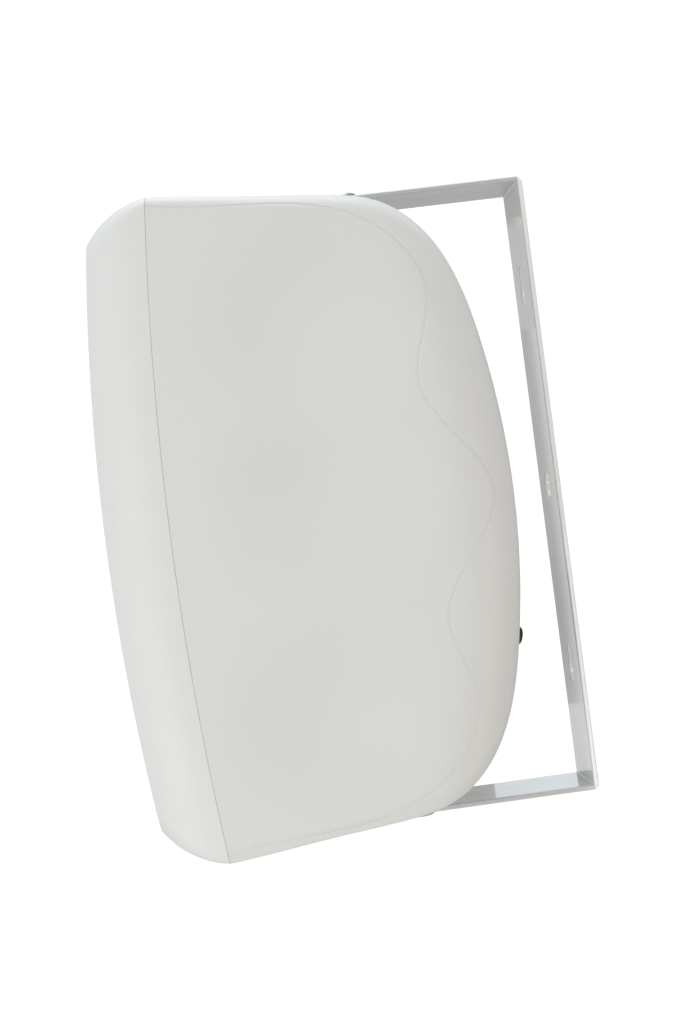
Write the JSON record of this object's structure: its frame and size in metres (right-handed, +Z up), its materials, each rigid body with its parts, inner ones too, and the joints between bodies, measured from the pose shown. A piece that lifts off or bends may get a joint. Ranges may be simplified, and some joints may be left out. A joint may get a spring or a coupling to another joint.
{
  "type": "wall-mount loudspeaker",
  "caption": "White two-way cabinet loudspeaker with a bowed perforated front and rounded back, swivelling in a U-shaped wall bracket of flat steel strip.",
  "frame": {"origin": "middle of the bracket's back face on the wall, halfway between the keyholes", "axes": "+Z up, +Y into the wall, the loudspeaker faces -Y, X across its width"},
  "size_m": [0.2, 0.2205, 0.3138],
  "materials": {
    "bracket": "glossy white powder coat",
    "cabinet": "satin white moulding",
    "front_bezel": "satin white moulding",
    "seam_gasket": "pale foam rubber",
    "grille": "satin white paint",
    "bezel_screws": "blackened zinc",
    "woofer_frame": "black paint",
    "woofer_trim_ring": "matt",
    "woofer_screws": "blackened zinc",
    "woofer_surround": "matt",
    "woofer_cone": "coated paper",
    "woofer_dust_cap": "coated paper",
    "woofer_voice_coil": "copper wire on a foil former",
    "woofer_spider": "treated cloth",
    "woofer_top_plate": "zinc plated",
    "woofer_magnet": "ferrite",
    "woofer_yoke": "zinc plated",
    "woofer_tag_board": "phenolic fibre",
    "tweeter_faceplate": "textured black",
    "tweeter_screws": "blackened zinc",
    "tweeter_surround": "coated cloth",
    "tweeter_dome": "coated cloth",
    "tweeter_voice_coil": "copper wire",
    "tweeter_top_plate": "zinc plated",
    "tweeter_magnet": "ferrite",
    "tweeter_yoke": "zinc plated",
    "tweeter_tag_board": "phenolic fibre",
    "crossover_board": "glass-fibre laminate",
    "board_screws": "zinc plated",
    "bass_choke": "enamelled copper",
    "treble_choke": "enamelled copper",
    "capacitors": "film wrap",
    "resistor": "cement body",
    "terminal_cup": "textured black",
    "cup_screws": "zinc plated",
    "post_studs": "plated",
    "post_collars": "satin",
    "post_lock_nuts": "plated",
    "red_thumb_nut": "moulded",
    "black_thumb_nut": "moulded",
    "pivot_bolts": "zinc plated",
    "steel_washers": "zinc plated",
    "rubber_washers": "matt",
    "threaded_inserts": "turned",
    "damping_pad_left": "felt",
    "damping_pad_right": "felt",
    "input_leads": "insulation",
    "woofer_leads": "insulation",
    "tweeter_leads": "insulation"
  },
  "bodies": {
    "bracket": {"bracket": "bracket"},
    "cabinet": {"cabinet": "cabinet", "front_bezel": "front_bezel", "seam_gasket": "seam_gasket", "grille": "grille", "bezel_screws": "bezel_screws", "woofer_frame": "woofer_frame", "woofer_trim_ring": "woofer_trim_ring", "woofer_screws": "woofer_screws", "woofer_surround": "woofer_surround", "woofer_spider": "woofer_spider", "woofer_top_plate": "woofer_top_plate", "woofer_magnet": "woofer_magnet", "woofer_yoke": "woofer_yoke", "woofer_tag_board": "woofer_tag_board", "tweeter_faceplate": "tweeter_faceplate", "tweeter_screws": "tweeter_screws", "tweeter_surround": "tweeter_surround", "tweeter_top_plate": "tweeter_top_plate", "tweeter_magnet": "tweeter_magnet", "tweeter_yoke": "tweeter_yoke", "tweeter_tag_board": "tweeter_tag_board", "crossover_board": "crossover_board", "board_screws": "board_screws", "bass_choke": "bass_choke", "treble_choke": "treble_choke", "capacitors": "capacitors", "resistor": "resistor", "terminal_cup": "terminal_cup", "cup_screws": "cup_screws", "post_studs": "post_studs", "post_collars": "post_collars", "post_lock_nuts": "post_lock_nuts", "pivot_bolts": "pivot_bolts", "steel_washers": "steel_washers", "rubber_washers": "rubber_washers", "threaded_inserts": "threaded_inserts", "damping_pad_left": "damping_pad_left", "damping_pad_right": "damping_pad_right", "input_leads": "input_leads", "woofer_leads": "woofer_leads", "tweeter_leads": "tweeter_leads"},
    "woofer_cone": {"woofer_cone": "woofer_cone", "woofer_dust_cap": "woofer_dust_cap", "woofer_voice_coil": "woofer_voice_coil"},
    "tweeter_dome": {"tweeter_dome": "tweeter_dome", "tweeter_voice_coil": "tweeter_voice_coil"},
    "red_thumb_nut": {"red_thumb_nut": "red_thumb_nut"},
    "black_thumb_nut": {"black_thumb_nut": "black_thumb_nut"}
  },
  "joints": [
    {"name": "swivel", "type": "hinge", "parent": "bracket", "child": "cabinet", "pos_m": [0, -0.088, 0], "axis": [0, 0, 1], "range_deg": [-34, 34]},
    {"name": "woofer_travel", "type": "slide", "parent": "cabinet", "child": "woofer_cone", "axis": [0, -1, 0], "range_m": [-0.0035, 0.0035], "stiffness_N_per_m": 1000, "deforming": ["woofer_surround", "woofer_spider"]},
    {"name": "tweeter_travel", "type": "slide", "parent": "cabinet", "child": "tweeter_dome", "axis": [0, -1, 0], "range_m": [-0.00025, 0.00025], "stiffness_N_per_m": 200, "deforming": ["tweeter_surround"]},
    {"name": "red_nut_turn", "type": "hinge", "parent": "cabinet", "child": "red_thumb_nut", "pos_m": [-0.0095, -0.0337, -0.072], "axis": [0, 0.9744, -0.225], "continuous": true},
    {"name": "black_nut_turn", "type": "hinge", "parent": "cabinet", "child": "black_thumb_nut", "pos_m": [0.0095, -0.0337, -0.072], "axis": [0, 0.9744, -0.225], "continuous": true}
  ]
}
